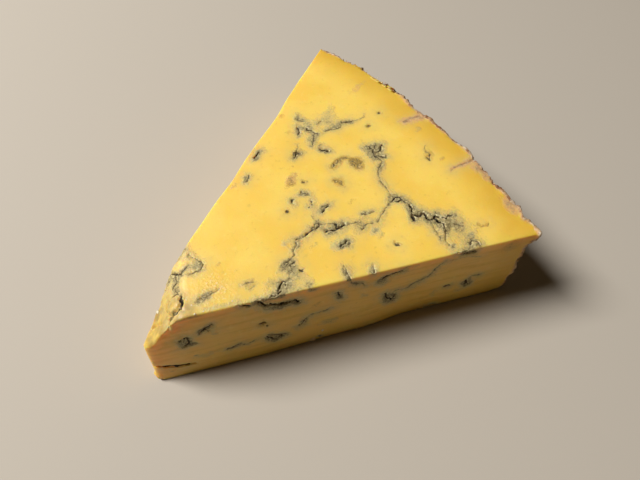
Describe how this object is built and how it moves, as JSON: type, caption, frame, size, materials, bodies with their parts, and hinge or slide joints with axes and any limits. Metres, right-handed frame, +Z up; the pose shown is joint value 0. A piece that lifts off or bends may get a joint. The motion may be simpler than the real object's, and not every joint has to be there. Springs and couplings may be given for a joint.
{
  "type": "blue cheese wedge",
  "caption": "Wedge of orange blue-veined cheese cut from a round wheel, with a rough natural rind on its outer end and a broken tip.",
  "frame": {"origin": "on the table plane, under the middle of the wedge's box", "axes": "+X from the tip to the rind, +Y to the left seen from the tip, +Z up"},
  "size_m": [0.1046, 0.0915, 0.0266],
  "materials": {
    "cheese_wedge": "cut paste of firm blue cheese, slightly moist"
  },
  "bodies": {
    "root": {"cheese_wedge": "cheese_wedge"}
  },
  "joints": []
}
